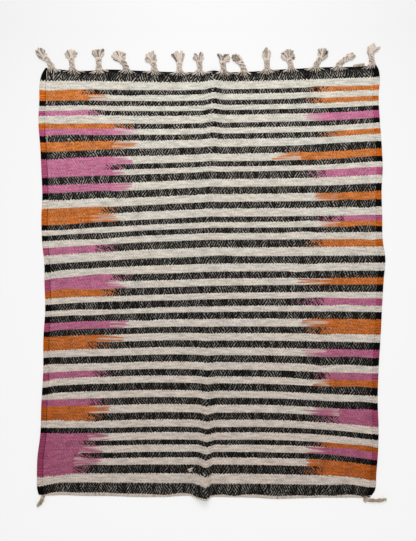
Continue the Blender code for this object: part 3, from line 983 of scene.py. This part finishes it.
def joined(shells):
    """Many shells of tubes as one mesh's points, faces, yarn places and tones."""
    points, faces, places, tones, start = [], [], [], [], 0
    for shell in shells:
        points.append(shell[0])
        faces += (shell[1] + start).tolist() + (shell[2] + start).tolist()
        places.append(shell[3])
        tones.append(shell[4])
        start += len(shell[0])
    return np.concatenate(points), faces, np.concatenate(places), np.concatenate(tones)


def cloth_top(across, up):
    """The height of the cloth's upper face at a place on it."""
    tassel_end = woven_edge(across, 1)
    loop_end = woven_edge(across, -1)
    along = LENGTH * (tassel_end - up) / (tassel_end - loop_end)
    return underside(across, np.clip(along, 0, LENGTH)) + CLOTH_THICKNESS


def wound(line, reach, turns, strands, start=0.0):
    """Strands wound round a line: each keeps to an ellipse across the line that turns as it goes."""
    heading = unit(np.gradient(line, axis=0))
    sideways = unit(np.cross(heading, (0, 0, 1)))
    lift = np.cross(sideways, heading)
    share = np.linspace(0, 1, len(line))
    angle = start + share * turns * math.tau + np.arange(strands)[:, None] * math.tau / strands
    aside = (np.cos(angle) * reach[0])[..., None] * sideways
    above = (np.sin(angle) * reach[1])[..., None] * lift
    return line + aside + above


def neck_line(t):
    """The middle line of a tassel's neck, from just inside the cloth's edge to the knot."""
    edge = float(woven_edge(t.root, 1))
    start = np.array([t.root, edge - NECK_INSET])
    knot = np.array([t.root + t.knot[0], edge + t.knot[1]])
    middle = start + np.array([0, t.knot[1] * NECK_UPRIGHT])
    share = np.linspace(0, 1, NECK_POINTS)
    rise = NECK_MIDDLE + NECK_LIFT * (1 - share) ** 3
    return np.column_stack([bent(start, middle, knot, share), rise])


def neck_shell(t, chance):
    """The plied neck: three plies of three yarns each, spread flat where they leave the cloth."""
    line = neck_line(t)
    share = np.linspace(0, 1, NECK_POINTS)
    full = np.clip(share * 2.2, 0, 1) ** 0.7
    wide = ROOT_REACH[0] + (NECK_REACH[0] - ROOT_REACH[0]) * full
    high = ROOT_REACH[1] + (NECK_REACH[1] - ROOT_REACH[1]) * full
    plies = wound(line, (wide, high), t.turns, PLIES, start=chance.uniform(0, math.tau))
    yarns = [wound(ply, (PLY_REACH, PLY_REACH), PLY_TURNS * t.turns, YARNS_EACH_PLY) for ply in plies]
    yarns = np.concatenate(yarns)
    tone = np.clip(chance.normal(0.5, 0.16, len(yarns)), 0, 1)
    return tubes(yarns, YARN_RADIUS, 6, tone)


def knot_shell(t, chance):
    """The overhand knot: a thick yarn on an ellipse round the neck's end, moving on along the neck."""
    line = neck_line(t)
    heading = unit(line[-1] - line[-4])
    sideways = unit(np.cross(heading, (0, 0, 1)))
    share = np.linspace(0, 1, KNOT_POINTS)
    angle = share * KNOT_TURNS * math.tau + KNOT_START
    ring = line[-1] + np.outer(np.cos(angle) * KNOT_REACH[0], sideways)
    ring = ring + np.outer(np.sin(angle) * KNOT_REACH[1], (0, 0, 1.0))
    ring = ring + np.outer((share - 0.5) * KNOT_LENGTH, heading)
    # the knot's yarn is paler than the neck's: a painted highlight where the knot stands up into the light
    tone = np.clip(chance.normal(0.78, 0.08, 1), 0, 1)
    return tubes(ring[None], KNOT_YARN, 8, tone)


def ends_shell(t, chance):
    """The cut ends: in each lock six are packed round a middle one, and run from the knot to its tip."""
    edge = float(woven_edge(t.root, 1))
    line = neck_line(t)
    heading = unit(line[-1, :2] - line[-4, :2])
    sideways = np.array([heading[1], -heading[0]])
    fans = np.linspace(-1, 1, len(t.tips))
    share = np.linspace(0, 1, END_POINTS)
    spread = 0.35 + 0.65 * np.sin(np.clip(share * 1.25, 0, 1) * math.pi / 2)
    lie = NECK_MIDDLE * (1 - share**2) + (END_RADIUS + LOCK_LAYER + 0.4) * share**2
    lines, tones = [], []
    for k, (tip_across, tip_beyond) in enumerate(t.tips):
        tip = np.array([t.root + tip_across, edge + tip_beyond])
        start = line[-1, :2] + sideways * fans[k] * ENDS_START
        run = np.linalg.norm(tip - start)
        middle = start + heading * run * 0.45 + sideways * fans[k] * run * 0.12
        hump = LOCK_HUMP * (1 - abs(fans[k])) * np.sin(share * math.pi)
        lock_tone = chance.normal(0.55, 0.2)
        for n in range(LOCK_ENDS):
            ring = 0 if n == LOCK_ENDS - 1 else 1
            angle = n * math.tau / (LOCK_ENDS - 1) + 0.3 * k
            aside = ring * math.cos(angle) * LOCK_SPACING
            above = ring * math.sin(angle) * LOCK_LAYER
            reach = 1 - 0.05 * ring + chance.uniform(-0.05, 0.03)
            flat = bent(start, middle, tip, share * reach)
            turn = unit(np.gradient(flat, axis=0))
            across = np.stack([turn[:, 1], -turn[:, 0]], 1)
            wobble = 0.8 * np.sin(share * chance.uniform(4, 9) + chance.uniform(0, math.tau)) * share
            flat = flat + across * (aside * spread + wobble)[:, None]
            rise = lie + above * spread * (1 - 0.35 * share**3) + hump
            lines.append(np.column_stack([flat, rise]))
            tones.append(np.clip(lock_tone + chance.normal(0.03, 0.28), 0, 1))
    return tubes(np.array(lines), END_RADIUS * np.where(share > 0.97, 0.62, 1.0), 6, np.array(tones))


def fan_shell(t, chance):
    """The warps that gather into the root: parabolas that lie on the cloth and turn outwards at its edge."""
    f = np.linspace(-1, 1, FAN_WARPS) + chance.uniform(-0.05, 0.05, FAN_WARPS)
    reach = FAN_REACH * chance.uniform(0.8, 1.12, FAN_WARPS)
    depth = 6.5 + FAN_DEPTH * (1 - np.abs(f)) ** 0.7 * chance.uniform(0.75, 1.25, FAN_WARPS)
    share = np.linspace(0, 1, FAN_POINTS)
    start_across = np.clip(t.root + f * reach, -FAN_LIMIT, FAN_LIMIT)
    start = np.stack([start_across, -depth], 1)[:, None]
    middle = np.stack([t.root + f * 21.0, -5.0 - 3.0 * (1 - np.abs(f))], 1)[:, None]
    finish = np.stack([t.root + f * 10.5, np.full(FAN_WARPS, 7.0)], 1)[:, None]
    path = bent(start, middle, finish, np.broadcast_to(share, (FAN_WARPS, len(share))))
    edge = woven_edge(path[..., 0], 1)
    up = edge + path[..., 1]
    on_cloth = cloth_top(path[..., 0], np.minimum(up, edge))
    rise = on_cloth + 0.7 + 0.9 * share + chance.uniform(0, 0.6, FAN_WARPS)[:, None]
    lines = np.stack([path[..., 0], up, rise], -1)
    radii = np.interp(share, (0, 0.1, 0.55, 1), (0.8, 1.6, 1.9, 2.1))
    tone = np.clip(chance.normal(0.66, 0.3, FAN_WARPS), 0, 1)
    return tubes(lines, radii, 5, tone)


WARP_DARK = "503C2E"
WARP_LIGHT = "F0E1D3"
TWIST_PITCH = 3.4
TWIST_DEPTH = 0.6
DUST_FINENESS = 120.0


def warp_wool(name, dark, light):
    """Plied warp yarn: pale undyed wool, with painted shade in the twist's fine slanting grooves and a dusty
    unevenness.
    """
    material, shader, add = new_material(name)
    place = add("SeparateXYZ", [add("UVMap", uv_map="yarn")]).node.outputs
    slant = add("Math", [place[0], place[1]], operation="ADD")
    turns = add("Math", [slant, math.tau / (TWIST_PITCH * MM)], operation="MULTIPLY")
    twist = add("Math", [turns], operation="SINE")
    tone = add("Attribute", output=2, attribute_name="tone")
    dust = add("TexNoise", {"Vector": add("TexCoord", output=3), "Scale": DUST_FINENESS, "Detail": 3.0})
    # the twist's sine darkens the colour in its grooves as painted shade; the dust and the tone vary at
    # random
    paleness = add("Math", [twist, 0.12, tone], operation="MULTIPLY_ADD")
    paleness = add("Math", [dust, 1.15, paleness], operation="MULTIPLY_ADD")
    paleness = add("Math", [paleness, 0.40], operation="SUBTRACT")
    colour = add("Mix", {0: paleness, 6: linear(dark), 7: linear(light)}, 2, data_type="RGBA")
    raised = add("Bump", {"Height": twist, "Distance": TWIST_DEPTH * MM, "Strength": 0.6})
    set_inputs(shader, {"Base Color": colour, "Normal": raised, "Roughness": 0.9, "Specular IOR Level": 0.2})
    return material


warp_material = warp_wool("plied_warp_yarn", WARP_DARK, WARP_LIGHT)


def yarn_piece(name, shells, material=warp_material):
    """Shells of yarn as one piece of the rug's warp."""
    points, faces, places, tones = joined(shells)
    piece = make_piece(name, to_world(points), faces, "yarn", places, {"tone": tones}, material)
    return piece


for number, t in enumerate(TASSELS):
    chance = np.random.default_rng(100 + number)
    shells = [make(t, chance) for make in (neck_shell, knot_shell, ends_shell, fan_shell)]
    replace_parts(yarn_piece(f"knotted_{t.name}", shells), t.name)

# The short warp ends
# One stub lies along the tassel end, and at the two far corners the last warps are plied off.
# Each is two plies of two yarns, browner from handling, resting on the floor beside the cloth.
HANDLED_DARK = "5F4731"
HANDLED_LIGHT = "EBD9C2"
STRAND_TURNS = 1.4
STRAND_YARN_TURNS = 2.2
STRAND_POINTS = 18
Strand = namedtuple("Strand", "name end width tip_width route")
STRANDS = (
    Strand("tassel_stub", 1, 10, 13, ((632, 2.5), (645, 3.5), (660, 5), (678, 7))),
    Strand("corner_tassel_left", -1, 18, 15, ((-745, 1), (-748, 16), (-757, 32), (-770, 47))),
    Strand("corner_tassel_right", -1, 15, 14, ((676, 4), (704, 17), (738, 29), (776, 31))),
)
handled = warp_wool("handled_warp_yarn", HANDLED_DARK, HANDLED_LIGHT)
for number, strand in enumerate(STRANDS):
    chance = np.random.default_rng(200 + number)
    route = np.array(strand.route, float)
    stations = np.arange(len(route), dtype=float)
    at = np.linspace(0, stations[-1], STRAND_POINTS)
    share = at / stations[-1]
    across_at = smooth(at, stations, route[:, 0])
    up_at = woven_edge(across_at, strand.end) + strand.end * smooth(at, stations, route[:, 1])
    width = strand.width + (strand.tip_width - strand.width) * share
    line = np.column_stack([across_at, up_at, width * 0.5])
    plies = wound(line, (width * 0.17, width * 0.12), STRAND_TURNS, 2)
    yarns = np.concatenate([wound(ply, (1.5, 1.5), STRAND_YARN_TURNS, 2) for ply in plies])
    tone = np.clip(chance.normal(0.40, 0.1, len(yarns)), 0, 1)
    blunt = np.interp(share, (0, 0.93, 1), (1, 1, 0.6))
    shell = tubes(yarns, width.mean() * 0.34 * blunt, 6, tone)
    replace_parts(yarn_piece(f"plied_{strand.name}", [shell], handled), strand.name)

# The warp loops
# At this end no warp was cut: each turns back into the cloth, so a row of small loops hems it.
# Pale warp yarn round the last wefts, drawn a little coarser than it is, or it would not show.
LOOP_PITCH = 8.0
LOOP_WIDTH = 2.1
LOOP_YARN = 1.7
LOOP_POINTS = 7
LOOP_ROW = (-738, 706)
chance = np.random.default_rng(300)
rows_at = np.arange(*LOOP_ROW, LOOP_PITCH)
rows_at = rows_at + chance.uniform(-1.0, 1.0, len(rows_at))
turn = np.linspace(0, math.pi, LOOP_POINTS)
loop_across = rows_at[:, None] - LOOP_WIDTH * np.cos(turn)
depth = table_curve(rows_at, LOOPS, "across", "width") + 1.0
edge = woven_edge(loop_across, -1)
loop_up = edge + depth[:, None] * (1 - np.sin(turn) ** 0.7) - 0.5 - chance.uniform(0, 0.8, (len(rows_at), 1))
inside = np.maximum(loop_up, edge + 0.5)
lie = cloth_top(loop_across, inside) + 0.3 - 2.6 * np.sin(turn) ** 2
lines = np.stack([loop_across, loop_up, lie], -1)
tone = np.clip(chance.normal(0.88, 0.2, len(rows_at)), 0, 1)
yarn_piece("warp_loops", [tubes(lines, LOOP_YARN, 5, tone)])

# The loose threads
# A few slack warps and slubs stand on the face of the cloth, as on any hand-woven rug.
# Thin pale yarn, some of it dusty, held by the weave at both ends.
Thread = namedtuple("Thread", "across up to_across to_up thickness tone")
THREADS = (
    Thread(-729, 905, -728, 864, 2.4, 1.0),
    Thread(-729, 774, -728, 756, 2.2, 1.0),
    Thread(-728, 619, -727, 584, 2.4, 1.0),
    Thread(-699, 897, -698, 864, 2.0, 0.8),
    Thread(-733, 84, -716, 58, 1.8, 0.15),
    Thread(-636, 603, -633, 598, 3.4, 1.0),
    Thread(-104, -864, -82, -857, 6.0, 1.0),
    Thread(-98, -870, -88, -868, 6.0, 0.95),
    Thread(-37, -866, -25, -874, 2.6, 0.9),
    Thread(-34, -874, -28, -879, 2.2, 0.8),
    Thread(519, -184, 524, -182, 3.8, 1.0),
    Thread(668, -981, 704, -984, 7.0, 0.05),
)
steps = np.linspace(0, 1, 6)
for number, t in enumerate(THREADS):
    path = np.outer(1 - steps, (t.across, t.up)) + np.outer(steps, (t.to_across, t.to_up))
    rise = cloth_top(path[:, 0], path[:, 1]) + t.thickness * (0.1 + 0.4 * np.sin(steps * math.pi))
    line = np.column_stack([path, rise])
    yarn_piece(f"loose_thread_{number + 1:02d}", [tubes(line[None], t.thickness / 2, 6, t.tone)])

# One cut end at the right corner bends back on itself on the floor.
LOOSE_END = ((674, -999), (681, -1008), (686, -1013), (689, -1007), (691, -998))
LOOSE_END_MIDDLE = 1.6
LOOSE_END_RADIUS = 1.4
bend = np.column_stack([LOOSE_END, np.full(len(LOOSE_END), LOOSE_END_MIDDLE)])
yarn_piece("loose_end", [tubes(bend[None], LOOSE_END_RADIUS, 6, 0.4)])

# The floor
# A plain pale studio floor that glows faintly, painted darker towards the lamp, so that it looks
# even under a light that falls off towards the loop end.
FLOOR_SIZE = 14.0
SHADE_LOOP_END = 0.90
SHADE_TASSEL_END = 0.60
SHADE_REACH = 1.1
FLOOR_GLOW = 0.31
bpy.ops.mesh.primitive_plane_add(size=FLOOR_SIZE, location=(0, 0, 0))
floor = bpy.context.object
floor.name = "studio_floor"
paint, shader, add = new_material("matt_floor_paint")
place = add("SeparateXYZ", [add("TexCoord", output=3)]).node.outputs
shade = add("MapRange", [place[1], -SHADE_REACH, SHADE_REACH, SHADE_LOOP_END, SHADE_TASSEL_END])
set_inputs(shader, {"Base Color": shade, "Roughness": 1.0, "Specular IOR Level": 0.0})
set_inputs(shader, {"Emission Color": (1, 1, 1, 1), "Emission Strength": FLOOR_GLOW})
floor.data.materials.append(paint)

# The light
# One broad soft lamp high beyond the tassel end, and an even white surround.
LAMP_PLACE = (0.0, 1.6, 2.4)
LAMP_SIZE = 1.6
LAMP_POWER = 40.0
LAMP_TILT = -28.0
SURROUND = 0.5
lamp_data = bpy.data.lights.new("studio_lamp", "AREA")
lamp_data.energy = LAMP_POWER
lamp_data.shape = "DISK"
lamp_data.size = LAMP_SIZE
lamp = bpy.data.objects.new("studio_lamp", lamp_data)
lamp.location = LAMP_PLACE
lamp.rotation_euler = (math.radians(LAMP_TILT), 0, 0)
lamp.visible_camera = False
bpy.context.scene.collection.objects.link(lamp)
world = bpy.data.worlds.new("studio_surround")
world.use_nodes = True
set_inputs(world.node_tree.nodes["Background"], {"Color": (1, 1, 1, 1), "Strength": SURROUND})
bpy.context.scene.world = world
bpy.context.scene.view_settings.view_transform = "Standard"

# The camera
# It hangs straight over the rug, a little off its middle, and takes in the whole of it.
CAMERA_PLACE = (-14.4, 18.8, 2200.0)
CAMERA_ANGLE = 57.3
camera_data = bpy.data.cameras.new("overhead_camera")
camera_data.sensor_fit = "VERTICAL"
camera_data.angle = math.radians(CAMERA_ANGLE)
camera_data.clip_end = 100
camera = bpy.data.objects.new("overhead_camera", camera_data)
camera.location = to_world(CAMERA_PLACE)
bpy.context.scene.collection.objects.link(camera)
bpy.context.scene.camera = camera
